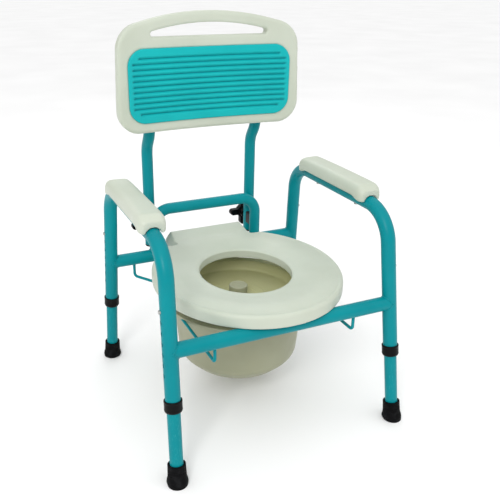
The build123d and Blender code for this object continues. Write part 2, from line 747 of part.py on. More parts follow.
# Ribbed pad set in the panel's recess
RIB_COUNT = 11
RIB_MARGIN = 21.5
with BuildPart() as back_pad:
    add(curved_slab(PANEL_R - PAD_PROUD, PANEL_R + RECESS))
    with BuildSketch(Plane.XZ.offset(-260)):
        add(pad_outline(0).sketch)
    extrude(amount=170, mode=Mode.INTERSECT)
    with BuildPart(mode=Mode.PRIVATE) as grooves:
        add(curved_slab(PANEL_R - PAD_PROUD - 5, PANEL_R - PAD_PROUD + 3))
        with BuildSketch(Plane.XZ.offset(-260)):
            for index in range(RIB_COUNT):
                pitch = (PAD_TOP_Z - PAD_LOW_Z - 2 * RIB_MARGIN) / (RIB_COUNT - 1)
                level = PAD_LOW_Z + RIB_MARGIN + index * pitch
                width = 360 if index in (0, RIB_COUNT - 1) else 390
                with Locations((0, level)):
                    SlotOverall(width, 4.6)
        extrude(amount=170, mode=Mode.INTERSECT)
    add(grooves, mode=Mode.SUBTRACT)
save(back_pad.part, "back_pad", TEAL)

with BuildPart() as panel_screws:
    for side in SIDES.values():
        for z in (660, 730):
            head_y = POST_TOP_Y + INNER_R + 3.2
            with Locations((side * BRACKET_X, head_y - 3.6, z)):
                Cylinder(2.1, 12.8, rotation=(90, 0, 0))
            with Locations((side * BRACKET_X, head_y + 1.4, z)):
                Cylinder(4.4, 2.8, rotation=(90, 0, 0))
save(panel_screws.part, "panel_screws", STEEL)
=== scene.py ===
"""Looks of the commode chair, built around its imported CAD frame.

Everything is in metres. The sitter faces -Y, +Z is up and Z=0 is the floor. The tubes, bars, bolts and
screws are the CAD nodes with better materials. The mouldings are replaced by rounder meshes.
"""

import math

import bmesh
import bpy
import numpy as np
from mathutils import Matrix, Vector
from mathutils.kdtree import KDTree


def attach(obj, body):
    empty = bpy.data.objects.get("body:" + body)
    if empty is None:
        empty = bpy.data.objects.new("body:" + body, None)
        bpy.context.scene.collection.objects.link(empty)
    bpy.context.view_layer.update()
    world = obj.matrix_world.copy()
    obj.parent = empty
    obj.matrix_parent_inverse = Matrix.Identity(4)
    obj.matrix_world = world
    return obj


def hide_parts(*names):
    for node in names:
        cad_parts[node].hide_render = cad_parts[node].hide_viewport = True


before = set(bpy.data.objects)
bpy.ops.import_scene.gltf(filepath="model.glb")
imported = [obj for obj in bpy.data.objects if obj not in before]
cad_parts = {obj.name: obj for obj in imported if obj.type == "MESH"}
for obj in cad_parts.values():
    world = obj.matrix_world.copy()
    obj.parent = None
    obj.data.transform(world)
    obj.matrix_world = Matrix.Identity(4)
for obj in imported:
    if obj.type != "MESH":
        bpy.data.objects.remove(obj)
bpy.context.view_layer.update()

SIDES = {"left": -1, "right": 1}
ENDS = {"front": -1, "rear": 1}
MM = 0.001

# Side frames, as in the CAD model
FLOOR_X = 267.0 * MM
SIDE_LEAN = math.radians(1.63)
FOOT_Y = {"front": -287.5 * MM, "rear": 235.5 * MM}
RAKE = {"front": math.radians(9.29), "rear": math.radians(4.92)}
ARM_HEIGHT = 489.0 * MM
BEND_R = {"front": 80.0 * MM, "rear": 70.0 * MM}
TUBE_END_HEIGHT = 166.0 * MM
TUBE_R = 16.0 * MM
INNER_R = 14.0 * MM
WIRE_R = 3.5 * MM
BAR_Z = 284.5 * MM
BRACKET_X = 142.0 * MM

# Camera, looking at the chair from its front left
CAMERA_PLACE = Vector((-0.5920, -1.2564, 0.9629))
CAMERA_AZIMUTH = -24.09
CAMERA_ELEVATION = 23.22
CAMERA_ROLL = 0.507
CAMERA_LENS = 46.24
CAMERA_SHIFT = (0.0439, -0.0065)

# Studio: a floor that reaches past the frame's top edge, and a sky that is darker at its horizon
FLOOR_HALF = 90.0
SKY_HORIZON = 0.42
SKY_TOP = 1.26


# ---------------------------------------------------------------- materials


def srgb(red, green, blue):
    """Linear colour of an 8-bit sRGB one."""
    values = [channel / 255 for channel in (red, green, blue)]
    return tuple(v / 12.92 if v <= 0.04045 else ((v + 0.055) / 1.055) ** 2.4 for v in values)


def start_material(name, roughness, specular=0.5, coat=0.0, metallic=0.0):
    """New node material with the shader's uniform values set on its own sockets."""
    material = bpy.data.materials.new(name)
    material.use_nodes = True
    shader = material.node_tree.nodes["Principled BSDF"]
    shader.inputs["Roughness"].default_value = roughness
    shader.inputs["Specular IOR Level"].default_value = specular
    shader.inputs["Coat Weight"].default_value = coat
    shader.inputs["Coat Roughness"].default_value = 0.12
    shader.inputs["Metallic"].default_value = metallic
    return material, material.node_tree, shader


def noise(tree, scale, detail=3.0, stretch=(1.0, 1.0, 1.0)):
    """Noise in the object's own metres, so that its grain keeps a real size."""
    place = tree.nodes.new("ShaderNodeTexCoord")
    mapping = tree.nodes.new("ShaderNodeMapping")
    mapping.inputs["Scale"].default_value = stretch
    texture = tree.nodes.new("ShaderNodeTexNoise")
    texture.inputs["Scale"].default_value = scale
    texture.inputs["Detail"].default_value = detail
    tree.links.new(place.outputs["Object"], mapping.inputs["Vector"])
    tree.links.new(mapping.outputs["Vector"], texture.inputs["Vector"])
    return texture.outputs["Fac"]


def tints(tree, factor, stops):
    """Colour ramp over (position, colour) stops."""
    ramp = tree.nodes.new("ShaderNodeValToRGB")
    elements = ramp.color_ramp.elements
    while len(elements) < len(stops):
        elements.new(0.5)
    for element, (position, colour) in zip(elements, stops):
        element.position = position
        element.color = (*colour, 1.0)
    tree.links.new(factor, ramp.inputs["Fac"])
    return ramp.outputs["Color"]


def stretch_range(tree, value, low, high, start=0.3, stop=0.7):
    """Maps a noise value from start-stop onto low-high."""
    node = tree.nodes.new("ShaderNodeMapRange")
    node.inputs["From Min"].default_value = start
    node.inputs["From Max"].default_value = stop
    node.inputs["To Min"].default_value = low
    node.inputs["To Max"].default_value = high
    tree.links.new(value, node.inputs["Value"])
    return node.outputs["Result"]


def mix_over(tree, factor, below, above):
    """Colour `above` laid over `below` by a factor."""
    node = tree.nodes.new("ShaderNodeMix")
    node.data_type = "RGBA"
    tree.links.new(factor, node.inputs["Factor"])
    tree.links.new(below, node.inputs[6])
    if isinstance(above, tuple):
        node.inputs[7].default_value = (*above, 1.0)
    else:
        tree.links.new(above, node.inputs[7])
    return node.outputs[2]


def worn_edges_and_shaded_hollows(tree, low=0.52, high=0.60):
    """Factor that rises on the mesh's outer edges, for rubbed edges; with low above high it rises in
    hollows instead, for painted shade.
    """
    geometry = tree.nodes.new("ShaderNodeNewGeometry")
    return stretch_range(tree, geometry.outputs["Pointiness"], 0.0, 1.0, low, high)


def bumps(tree, shader, layers):
    """Chained bump nodes, each (height, distance in metres)."""
    normal = None
    for height, distance in layers:
        node = tree.nodes.new("ShaderNodeBump")
        node.inputs["Strength"].default_value = 1.0
        node.inputs["Distance"].default_value = distance
        tree.links.new(height, node.inputs["Height"])
        if normal is not None:
            tree.links.new(normal, node.inputs["Normal"])
        normal = node.outputs["Normal"]
    tree.links.new(normal, shader.inputs["Normal"])


def paint_material(name, light, deep, scratched=False):
    """Glossy powder coat: orange peel, slight shade drift, and rub marks where tubes slide."""
    material, tree, shader = start_material(name, 0.34, specular=0.14)
    colour = tints(tree, noise(tree, 9.0), [(0.3, deep), (0.7, light)])
    peel = noise(tree, 420.0, 2.0)
    speck = noise(tree, 1500.0, 1.0)
    if scratched:
        marks = noise(tree, 60.0, 4.0, (14.0, 14.0, 0.35))
        faint = stretch_range(tree, marks, 0.0, 0.35, 0.60, 0.72)
        colour = mix_over(tree, faint, colour, srgb(90, 190, 190))
    tree.links.new(colour, shader.inputs["Base Color"])
    rough = stretch_range(tree, noise(tree, 35.0), 0.28, 0.42)
    tree.links.new(rough, shader.inputs["Roughness"])
    bumps(tree, shader, [(peel, 0.00016), (speck, 0.00004)])
    return material


def moulded_material(name, light, deep, roughness, edge, grain=0.00010, glow=0.0, shine=0.35):
    """Moulded plastic: flow mottling, fine spark-eroded grain and slightly rubbed edges."""
    material, tree, shader = start_material(name, roughness, specular=shine)
    colour = tints(tree, noise(tree, 6.0, 4.0), [(0.32, deep), (0.68, light)])
    colour = mix_over(tree, worn_edges_and_shaded_hollows(tree), colour, edge)
    tree.links.new(colour, shader.inputs["Base Color"])
    rough = stretch_range(tree, noise(tree, 28.0), roughness - 0.07, roughness + 0.07)
    tree.links.new(rough, shader.inputs["Roughness"])
    shader.inputs["Subsurface Weight"].default_value = glow
    shader.inputs["Subsurface Radius"].default_value = (0.004, 0.004, 0.003)
    bumps(tree, shader, [(noise(tree, 14.0, 2.0), 0.0006), (noise(tree, 900.0, 2.0), grain)])
    return material


def vinyl_material(name, light, deep, groove):
    """Soft foamed vinyl: painted shade darkens its grooves, with a fine even pebble."""
    material, tree, shader = start_material(name, 0.5, specular=0.2)
    colour = tints(tree, noise(tree, 7.0, 3.0), [(0.3, deep), (0.7, light)])
    # Painted shade: the grooves, found by their low pointiness, take the darker groove colour.
    painted_groove_shade = worn_edges_and_shaded_hollows(tree, 0.500, 0.462)
    tree.links.new(mix_over(tree, painted_groove_shade, colour, groove), shader.inputs["Base Color"])
    rough = stretch_range(tree, noise(tree, 40.0), 0.42, 0.58)
    tree.links.new(rough, shader.inputs["Roughness"])
    shader.inputs["Sheen Weight"].default_value = 0.05
    bumps(tree, shader, [(noise(tree, 700.0, 3.0), 0.00016)])
    return material


def rubber_material(name):
    """Matt black rubber with patches of dust."""
    material, tree, shader = start_material(name, 0.72, specular=0.08)
    dust = stretch_range(tree, noise(tree, 70.0, 5.0), 0.0, 0.30, 0.48, 0.75)
    colour = tints(tree, noise(tree, 25.0), [(0.3, srgb(6, 6, 7)), (0.7, srgb(14, 14, 16))])
    colour = mix_over(tree, dust, colour, srgb(50, 51, 53))
    tree.links.new(colour, shader.inputs["Base Color"])
    rough = stretch_range(tree, noise(tree, 90.0), 0.58, 0.82)
    tree.links.new(rough, shader.inputs["Roughness"])
    bumps(tree, shader, [(noise(tree, 650.0, 3.0), 0.00018)])
    return material


def steel_material(name):
    """Bright zinc-plated steel with brushed streaks and a few dull spots."""
    material, tree, shader = start_material(name, 0.32, metallic=1.0)
    colour = tints(tree, noise(tree, 140.0, 5.0), [(0.3, srgb(150, 152, 150)), (0.7, srgb(205, 206, 202))])
    tree.links.new(colour, shader.inputs["Base Color"])
    rough = stretch_range(tree, noise(tree, 300.0, 4.0, (1.0, 1.0, 8.0)), 0.22, 0.48)
    tree.links.new(rough, shader.inputs["Roughness"])
    bumps(tree, shader, [(noise(tree, 900.0, 3.0, (1.0, 1.0, 6.0)), 0.00005)])
    return material


TEAL = (srgb(0, 138, 146), srgb(0, 128, 137))
FRAME_PAINT = paint_material("frame_paint", *TEAL)
LEG_PAINT = paint_material("leg_paint", *TEAL, scratched=True)
SEAT_PLASTIC = moulded_material(
    "seat_plastic", srgb(196, 202, 188), srgb(187, 194, 178), 0.42, srgb(206, 211, 198), glow=0.06
)
PAIL_PLASTIC = moulded_material(
    "pail_plastic", srgb(160, 161, 136), srgb(150, 151, 125), 0.46, srgb(172, 173, 150), glow=0.08
)
LID_PLASTIC = moulded_material(
    "lid_plastic", srgb(184, 183, 140), srgb(174, 173, 128), 0.46, srgb(196, 195, 160), glow=0.10
)
# The third colour is the painted shade laid into the pad's grooves.
PAD_VINYL = vinyl_material("back_pad_vinyl", srgb(4, 176, 178), srgb(2, 166, 170), srgb(0, 122, 134))
BLACK_PLASTIC = moulded_material(
    "black_plastic", srgb(9, 9, 10), srgb(5, 5, 6), 0.40, srgb(20, 20, 22), grain=0.00012, shine=0.12
)
TIP_RUBBER = rubber_material("tip_rubber")
ZINC_STEEL = steel_material("zinc_steel")

NODE_FINISH = {
    "side_frame": FRAME_PAINT,
    "crossbar": FRAME_PAINT,
    "back_bracket": FRAME_PAINT,
    "bucket_rail": FRAME_PAINT,
    "back_post": FRAME_PAINT,
    "inner_leg": LEG_PAINT,
    "leg_collar": BLACK_PLASTIC,
    "rubber_tip": TIP_RUBBER,
    "snap_button": ZINC_STEEL,
    "button_spring": ZINC_STEEL,
    "armrest_pad": SEAT_PLASTIC,
    "armrest_screws": ZINC_STEEL,
    "seat_ring": SEAT_PLASTIC,
    "seat_bumpers": TIP_RUBBER,
    "bucket_lid": PAIL_PLASTIC,
    "bucket": PAIL_PLASTIC,
    "lid_knob": PAIL_PLASTIC,
    "post_plug": BLACK_PLASTIC,
    "post_side_plug": BLACK_PLASTIC,
    "clamp_saddle": BLACK_PLASTIC,
    "clamp_bolt": ZINC_STEEL,
    "clamp_washer": ZINC_STEEL,
    "clamp_knob": BLACK_PLASTIC,
    "back_panel": SEAT_PLASTIC,
    "back_pad": PAD_VINYL,
    "panel_screws": ZINC_STEEL,
}


def node_finish(node):
    """Finish of a CAD node, by the longest matching start of its name."""
    return NODE_FINISH[max((key for key in NODE_FINISH if node.startswith(key)), key=len)]


for node_name, node_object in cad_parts.items():
    node_object.data.materials.clear()
    node_object.data.materials.append(node_finish(node_name))


# ---------------------------------------------------------------- mesh tools


def make_piece(name, vertices, faces, material, angle=40.0):
    """Mesh object with outward normals, smooth except at edges sharper than angle."""
    mesh = bpy.data.meshes.new(name)
    mesh.from_pydata([tuple(v) for v in vertices], [], faces)
    shell = bmesh.new()
    shell.from_mesh(mesh)
    bmesh.ops.remove_doubles(shell, verts=shell.verts, dist=1e-6)
    bmesh.ops.recalc_face_normals(shell, faces=shell.faces)
    shell.to_mesh(mesh)
    shell.free()
    mesh.materials.append(material)
    piece = bpy.data.objects.new(name, mesh)
    bpy.context.scene.collection.objects.link(piece)
    smooth(piece, angle)
    return piece


def smooth(piece, angle=40.0):
    """Shades a piece smooth, keeping its edges above an angle sharp."""
    mesh = piece.data
    mesh.polygons.foreach_set("use_smooth", [True] * len(mesh.polygons))
    mesh.set_sharp_from_angle(angle=math.radians(angle))


def apply_modifiers(piece):
    """Replaces a piece's mesh by its evaluated one."""
    graph = bpy.context.evaluated_depsgraph_get()
    mesh = bpy.data.meshes.new_from_object(piece.evaluated_get(graph))
    piece.modifiers.clear()
    piece.data = mesh


def voxelise(piece, voxel):
    """Rebuilds a closed mesh on even cells."""
    remesh = piece.modifiers.new("cells", "REMESH")
    remesh.mode = "VOXEL"
    remesh.voxel_size = voxel
    apply_modifiers(piece)


def relax(piece, passes, factor=0.5):
    """Evens out a dense mesh, which rounds its edges."""
    modifier = piece.modifiers.new("relax", "SMOOTH")
    modifier.iterations = passes
    modifier.factor = factor
    apply_modifiers(piece)


def moulded_copy(node, name, voxel):
    """Dense even copy of a CAD node, ready for rounding."""
    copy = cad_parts[node].data.copy()
    shell = bmesh.new()
    shell.from_mesh(copy)
    bmesh.ops.remove_doubles(shell, verts=shell.verts, dist=1e-6)
    shell.to_mesh(copy)
    shell.free()
    piece = bpy.data.objects.new(name, copy)
    bpy.context.scene.collection.objects.link(piece)
    voxelise(piece, voxel)
    return piece


def points_of(piece):
    """Vertex places and normals as arrays."""
    count = len(piece.data.vertices)
    places = np.zeros(count * 3)
    normals = np.zeros(count * 3)
    piece.data.vertices.foreach_get("co", places)
    piece.data.vertices.foreach_get("normal", normals)
    return places.reshape(-1, 3), normals.reshape(-1, 3)


def move_points(piece, places):
    """Writes vertex places back."""
    piece.data.vertices.foreach_set("co", places.ravel())
    piece.data.update()


def ease(value, start, stop):
    """Smooth step from 0 at start to 1 at stop."""
    t = np.clip((value - start) / (stop - start), 0, 1)
    return t * t * (3 - 2 * t)


def rounded_profile(corners, steps=6):
    """Points of a polyline whose (x, y, radius) corners are turned into arcs."""
    points = []
    for index, (x, y, radius) in enumerate(corners):
        here = Vector((x, y))
        if radius <= 0:
            points.append(here)
            continue
        before = (Vector(corners[index - 1][:2]) - here).normalized()
        after = (Vector(corners[(index + 1) % len(corners)][:2]) - here).normalized()
        half = before.angle(after) / 2
        centre = here + (before + after).normalized() * (radius / math.sin(half))
        first = here + before * (radius / math.tan(half)) - centre
        last = here + after * (radius / math.tan(half)) - centre
        turn = first.angle_signed(last)
        for step in range(steps + 1):
            swing = -turn * step / steps
            cosine, sine = math.cos(swing), math.sin(swing)
            offset = Vector((first.x * cosine - first.y * sine, first.x * sine + first.y * cosine))
            points.append(centre + offset)
    return points


def lathe(name, corners, place, material, segments=96, steps=6, angle=40.0):
    """Closed (radius, height, fillet) profile in millimetres, turned about place's Z axis."""
    profile = rounded_profile([(r * MM, z * MM, f * MM) for r, z, f in corners], steps)
    vertices, faces = [], []
    for index in range(segments):
        swing = 2 * math.pi * index / segments
        for point in profile:
            vertices.append(place @ Vector((point.x * math.cos(swing), point.x * math.sin(swing), point.y)))
    count = len(profile)
    for index in range(segments):
        ahead = (index + 1) % segments
        for row in range(count):
            up = (row + 1) % count
            faces.append((index * count + row, ahead * count + row, ahead * count + up, index * count + up))
    return make_piece(name, vertices, faces, material, angle)


def ring_frames(points, closed):
    """Two cross directions at each point of a path, carried along without twist."""
    count = len(points)
    ways = []
    for index in range(count):
        before = points[index - 1] if closed or index > 0 else points[index]
        after = points[(index + 1) % count] if closed or index < count - 1 else points[index]
        ways.append((after - before).normalized())
    across = ways[0].orthogonal().normalized()
    frames = []
    for way in ways:
        across = (across - way * across.dot(way)).normalized()
        frames.append((across, way.cross(across)))
    return frames


def swept(name, points, radii, material, closed=False, sides=24):
    """Round rod along a path, its radius given at each point."""
    vertices, faces = [], []
    for point, radius, (first, second) in zip(points, radii, ring_frames(points, closed)):
        for side in range(sides):
            swing = 2 * math.pi * side / sides
            vertices.append(point + (first * math.cos(swing) + second * math.sin(swing)) * radius)
    rings = len(points)
    for ring in range(rings if closed else rings - 1):
        ahead = (ring + 1) % rings
        for side in range(sides):
            turn = (side + 1) % sides
            here, there = ring * sides, ahead * sides
            faces.append((here + side, here + turn, there + turn, there + side))
    if not closed:
        faces.append(tuple(range(sides)))
        faces.append(tuple((rings - 1) * sides + side for side in range(sides)))
    return make_piece(name, vertices, faces, material)


def finish_piece(piece, body, slot, *nodes):
    """Rides a piece on its body and hides the CAD nodes that it stands for. Its slot argument is not used.
    """
    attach(piece, body)
    if nodes:
        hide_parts(*nodes)


# ---------------------------------------------------------------- places on the frame


def side_place(side):
    """Matrix of a side frame's plane: X along the chair, Y up the frame, Z to the right."""
    lean = side * SIDE_LEAN
    along = Vector((0, 1, 0))
    up = Vector((-math.sin(lean), 0, math.cos(lean)))
    right = Vector((math.cos(lean), 0, math.sin(lean)))
    place = Matrix((along, up, right)).transposed().to_4x4()
    place.translation = Vector((side * FLOOR_X, 0, 0))
    return place


def leg_point(side, end, along):
    """World point at a distance along a leg from the floor."""
    lean = math.sin(RAKE[end]) * along * -ENDS[end]
    return side_place(side) @ Vector((FOOT_Y[end] + lean, math.cos(RAKE[end]) * along, 0))


def leg_place(side, end, along):
    """Matrix at a place along a leg, its Z up the leg."""
    here = leg_point(side, end, along)
    up = (leg_point(side, end, along + 1) - here).normalized()
    right = (side_place(side).to_3x3() @ Vector((0, 0, 1))).normalized()
    place = Matrix((right, up.cross(right), up)).transposed().to_4x4()
    place.translation = here
    return place


def bar_y(end):
    """Y of a crossbar, where the leg's axis passes its height."""
    return FOOT_Y[end] - ENDS[end] * math.tan(RAKE[end]) * BAR_Z


def frame_bend(end, steps=16):
    """Centreline of a side frame's upper bend in its plane, from the leg to the arm."""
    corner = Vector((FOOT_Y[end] - ENDS[end] * math.tan(RAKE[end]) * ARM_HEIGHT, ARM_HEIGHT))
    down = Vector((ENDS[end] * math.sin(RAKE[end]), -math.cos(RAKE[end])))
    ahead = Vector((-ENDS[end], 0))
    half = down.angle(ahead) / 2
    radius = BEND_R[end]
    centre = corner + (down + ahead).normalized() * (radius / math.sin(half))
    first = math.atan2(*(corner + down * radius / math.tan(half) - centre).yx)
    last = math.atan2(*(corner + ahead * radius / math.tan(half) - centre).yx)
    if end == "rear" and first < -math.pi / 2:
        first += 2 * math.pi
    if end == "front" and first < 0:
        first += 2 * math.pi
    swing = [first + (last - first) * step / steps for step in range(steps + 1)]
    return [centre + radius * Vector((math.cos(a), math.sin(a))) for a in swing]


# ---------------------------------------------------------------- armrest pads

PAD_MIDDLE_Y = -4.5 * MM
PAD_HALF_LENGTH = 141.0 * MM
PAD_HALF_WIDTH = 29.5 * MM
PAD_LOW = 500.0 * MM
PAD_TOP = 531.0 * MM
PAD_CORNER = 18.0 * MM


def pad_section(along, turn):
    """Across and up offsets of one pad section point, before its tube channel is cut."""
    end = PAD_HALF_LENGTH - abs(along)
    inset = PAD_CORNER - math.sqrt(max(PAD_CORNER**2 - max(PAD_CORNER - end, 0) ** 2, 0))
    half = PAD_HALF_WIDTH - inset * 0.62
    drop = 11.0 * MM * (max(1 - end / (20.0 * MM), 0)) ** 1.5
    lip = 7.0 * MM * float(ease(-end, -40.0 * MM, -12.0 * MM))
    low = PAD_LOW - lip
    high = PAD_TOP - drop - 1.5 * MM * (along / PAD_HALF_LENGTH) ** 2
    middle = low + 0.40 * (high - low)
    cosine, sine = math.cos(turn), math.sin(turn)
    power = 0.62 if sine > 0 else 0.30
    reach = math.copysign(abs(cosine) ** (0.42 if sine > 0 else 0.30), cosine)
    rise = abs(sine) ** power
    across = half * reach * (1.0 - 0.07 * max(sine, 0))
    height = middle + (high - middle) * rise if sine > 0 else middle - (middle - low) * rise
    return across, height


def armrest_pad(name, side):
    """Blow-moulded pad: crowned top, drooping ends and an arch where the tube comes out."""
    place = side_place(side)
    rings, turns = 72, 72
    vertices, faces = [], []
    for ring in range(rings + 1):
        along = PAD_HALF_LENGTH * math.sin(math.pi * (ring / rings - 0.5))
        for step in range(turns):
            across, height = pad_section(along, 2 * math.pi * (step + 0.5) / turns)
            vertices.append(place @ Vector((PAD_MIDDLE_Y + along, height, across)))
    for ring in range(rings):
        here, there = ring * turns, (ring + 1) * turns
        for step in range(turns):
            ahead = (step + 1) % turns
            faces.append((here + step, here + ahead, there + ahead, there + step))
    faces.append(tuple(range(turns)))
    faces.append(tuple(rings * turns + step for step in range(turns)))
    pad = make_piece("armrest_pad_skin_" + name, vertices, faces, SEAT_PLASTIC)

    channel = [place @ Vector((*point, 0)) for point in frame_bend("front")]
    channel += [place @ Vector((*point, 0)) for point in reversed(frame_bend("rear"))]
    radius = TUBE_R + 2.2 * MM
    cutter = swept("channel", channel, [radius] * len(channel), SEAT_PLASTIC, sides=40)
    cut = pad.modifiers.new("channel", "BOOLEAN")
    cut.operation = "DIFFERENCE"
    cut.solver = "EXACT"
    cut.object = cutter
    apply_modifiers(pad)
    bpy.data.objects.remove(cutter)
    voxelise(pad, 1.5 * MM)
    relax(pad, 6)
    smooth(pad, 60)
    finish_piece(pad, "frame", "seat_plastic", "armrest_pad_" + name)


# ---------------------------------------------------------------- seat

SEAT_Y = -36.6 * MM
SEAT_A = 217.0 * MM
SEAT_B = 239.0 * MM
HOLE_Y = -33.0 * MM
HOLE_A = 106.3 * MM
HOLE_B = 117.5 * MM
SEAT_TOP_Z = 332.0 * MM
SEAT_CROWN = 2.2 * MM
SEAT_DISH = 9.0 * MM
HOLE_LIP = 3.2 * MM


def ellipse_gap(places, centre_y, half_x, half_y):
    """Rough distance of points outside an ellipse, negative inside it."""
    scaled = np.hypot(places[:, 0] / half_x, (places[:, 1] - centre_y) / half_y)
    reach = np.hypot(places[:, 0], places[:, 1] - centre_y)
    return reach * (1 - 1 / np.maximum(scaled, 1e-6))


def seat_skin():
    """Seat ring with a crowned rim that falls to the hole in one soft curve."""
    seat = moulded_copy("seat_ring", "seat_ring_skin", 2.0 * MM)
    places, normals = points_of(seat)
    outer = -ellipse_gap(places, SEAT_Y, SEAT_A, SEAT_B)
    inner = ellipse_gap(places, HOLE_Y, HOLE_A, HOLE_B)
    crown = SEAT_TOP_Z - SEAT_CROWN * (1 - ease(outer, 4 * MM, 60 * MM))
    dish = SEAT_DISH * (1 - ease(inner, 4 * MM, 88 * MM))
    lip = HOLE_LIP * np.clip(1 - inner / (7 * MM), 0, 1) ** 2
    target = crown - dish - lip
    block = ease(np.abs(places[:, 0]), 112 * MM, 100 * MM) * ease(places[:, 1], 138 * MM, 158 * MM)
    top = ease(normals[:, 2], 0.25, 0.7) * (places[:, 2] > 319 * MM)
    weight = top * (1 - block) * ease(outer, 6 * MM, 12 * MM)
    places[:, 2] += weight * (target - places[:, 2])
    move_points(seat, places)
    relax(seat, 7)
    seat.data.materials.clear()
    seat.data.materials.append(SEAT_PLASTIC)
    smooth(seat, 60)
    finish_piece(seat, "seat", "seat_plastic", "seat_ring")


# ---------------------------------------------------------------- bucket and lid

BUCKET_PLACE = Matrix.Translation((0, 5.0 * MM, 0))


def bucket_and_lid():
    """Turned shells of the pail, its recessed lid and the lid's hollow knob."""
    bucket = lathe(
        "bucket_shell",
        [
            (0, 76, 0),
            (92, 76, 4),
            (98, 72, 3),
            (114, 73.5, 14),
            (145, 103, 34),
            (157, 239.8, 3),
            (175.4, 239.8, 0.8),
            (175.4, 236.6, 0.8),
            (178, 236.6, 0.8),
            (178, 243.0, 1.2),
            (161, 243.0, 2.0),
            (161, 262.0, 1.2),
            (155.6, 262.0, 1.2),
            (142.4, 104, 31.5),
            (113, 76.2, 12),
            (92, 78.6, 3),
            (0, 78.6, 0),
        ],
        BUCKET_PLACE,
        PAIL_PLASTIC,
        segments=160,
    )
    finish_piece(bucket, "bucket", "pail_plastic", "bucket")
    lid = lathe(
        "bucket_lid_shell",
        [
            (0, 237.2, 0),
            (142, 237.2, 4),
            (146.5, 262.3, 2),
            (163.5, 262.3, 0.8),
            (163.5, 256.0, 0.6),
            (166, 256.0, 0.8),
            (166, 264.9, 2.6),
            (145.5, 264.9, 3),
            (139.5, 239.8, 6),
            (66, 239.8, 1),
            (64, 240.6, 1),
            (44, 240.6, 1),
            (42, 239.8, 1),
            (0, 239.8, 0),
        ],
        BUCKET_PLACE,
        LID_PLASTIC,
        segments=160,
    )
    finish_piece(lid, "lid", "pail_plastic", "bucket_lid")
    knob = lathe(
        "lid_knob_cup",
        [
            (0, 239.4, 0),
            (20.6, 239.4, 0.5),
            (21.5, 241.4, 1.5),
            (22.6, 266.6, 2.6),
            (19.6, 266.6, 0.8),
            (18.6, 265.7, 0.8),
            (5.2, 265.7, 0.5),
            (4.4, 266.3, 0.5),
            (0, 266.3, 0),
        ],
        BUCKET_PLACE,
        PAIL_PLASTIC,
        segments=96,
    )
    finish_piece(knob, "lid", "pail_plastic", "lid_knob")


# ---------------------------------------------------------------- back panel and ribbed pad

PANEL_CENTRE_Y = -1220.0 * MM
PANEL_R = 1400.0 * MM
PANEL_ROUND = 9.0 * MM
RIB_LOW_Z = 637.0 * MM
RIB_TOP_Z = 803.5 * MM
RIB_HALF = 203.0 * MM
RIB_CORNER = 40.0 * MM
RIB_COUNT = 11
RIB_MARGIN = 21.5 * MM
RIB_CREST = 5.0 * MM
RIB_DEPTH = 5.4 * MM
GROOVE_HALF = 195.0 * MM
OUTER_GROOVE_HALF = 180.0 * MM
PAD_EDGE_ROUND = 3.6 * MM
PAD_EDGE_DROP = 3.2 * MM
PAD_BACKING = 2.6 * MM


def arc_through(start, middle, stop, steps=24):
    """Points of the arc through three points, without its last one."""
    ax, ay, bx, by, cx, cy = *start, *middle, *stop
    scale = 2 * (ax * (by - cy) + bx * (cy - ay) + cx * (ay - by))
    squares = [x * x + y * y for x, y in (start, middle, stop)]
    x = (squares[0] * (by - cy) + squares[1] * (cy - ay) + squares[2] * (ay - by)) / scale
    y = (squares[0] * (cx - bx) + squares[1] * (ax - cx) + squares[2] * (bx - ax)) / scale
    first = math.atan2(ay - y, ax - x)
    turn = math.atan2(by - y, bx - x) - first
    total = math.atan2(cy - y, cx - x) - first
    turn %= 2 * math.pi
    total %= 2 * math.pi
    if turn > total:
        total -= 2 * math.pi
    radius = math.hypot(ax - x, ay - y)
    swings = [first + total * step / steps for step in range(steps)]
    return [(x + radius * math.cos(a), y + radius * math.sin(a)) for a in swings]


def straight(start, stop, steps=40):
    """Points of a straight without its last one."""
    return [
        (start[0] + (stop[0] - start[0]) * step / steps, start[1] + (stop[1] - start[1]) * step / steps)
        for step in range(steps)
    ]


def panel_edge():
    """Outline of the panel seen from the front, in metres."""
    low, side_low, side_top, shoulder = (185, 614), (230, 668), (225, 795), (172, 858)
    points = straight((-185, 614), low, 120)
    points += arc_through(low, (216, 631), side_low)
    points += straight(side_low, side_top)
    points += arc_through(side_top, (212, 835), shoulder)
    points += arc_through(shoulder, (0, 881), (-172, 858), 120)
    points += arc_through((-172, 858), (-212, 835), (-225, 795))
    points += straight((-225, 795), (-230, 668))
    points += arc_through((-230, 668), (-216, 631), (-185, 614))
    return [(x * MM, z * MM) for x, z in points]


def slot_edge():
    """Outline of the carrying slot seen from the front, in metres."""
    points = straight((-138, 827), (138, 827), 120)
    points += arc_through((138, 827), (145, 833), (138, 840), 12)
    points += arc_through((138, 840), (0, 856), (-138, 840), 120)
    points += arc_through((-138, 840), (-145, 833), (-138, 827), 12)
    return [(x * MM, z * MM) for x, z in points]


def round_front_edge(places, edge, radius):
    """Turns the square front edge along an outline into a quarter round, walls behind it included."""
    tree = KDTree(len(edge))
    for index, (x, z) in enumerate(edge):
        tree.insert((x, z, 0), index)
    tree.balance()
    for place in places:
        depth = math.hypot(place[0], place[1] - PANEL_CENTRE_Y) - PANEL_R
        if depth >= radius:
            continue
        (near_x, near_z, _), _, gap = tree.find((place[0], place[2], 0))
        if gap >= radius or gap < 1e-5:
            continue
        away_x, away_z = (place[0] - near_x) / gap, (place[2] - near_z) / gap
        across, back = radius - gap, radius - max(depth, 0.0)
        shrink = max(across, back) / math.hypot(across, back)
        moved = radius - across * shrink
        sunk = radius - back * shrink
        place[0] += away_x * (moved - gap)
        place[2] += away_z * (moved - gap)
        place[1] += sunk - depth
    return places


